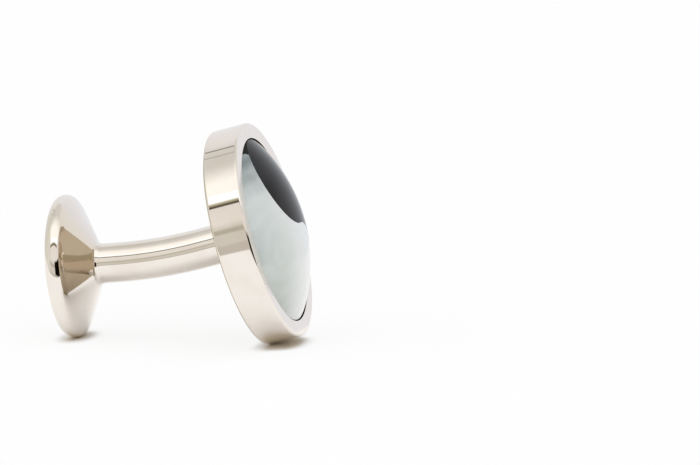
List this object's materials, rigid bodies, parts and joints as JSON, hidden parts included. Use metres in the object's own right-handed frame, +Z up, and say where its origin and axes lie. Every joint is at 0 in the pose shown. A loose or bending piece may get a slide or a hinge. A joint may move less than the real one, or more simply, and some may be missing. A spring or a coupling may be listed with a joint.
{
  "type": "cufflink",
  "caption": "Fixed-back cufflink: round polished metal case with a domed two-tone comma inlay, a bent post and a mushroom button that holds a shirt cuff closed.",
  "frame": {"origin": "on the surface that the part rests on, under the middle of its box", "axes": "+Z up; +X from the button to the face, in the plane of the post's bend; +Y to the right of the face"},
  "size_m": [0.0216, 0.018, 0.018],
  "materials": {
    "plated_metal": "mirror polished, warm nickel",
    "pearl_shell": "polished shell",
    "black_stone": "polished",
    "cement": "dull"
  },
  "bodies": {
    "root": {"back_plate": "plated_metal", "case_ring": "plated_metal", "cement_bed": "cement", "pearl_inlay": "pearl_shell", "onyx_inlay": "black_stone", "base_collar": "plated_metal", "bent_post": "plated_metal", "button_flare": "plated_metal", "button_dome": "plated_metal"}
  },
  "joints": []
}
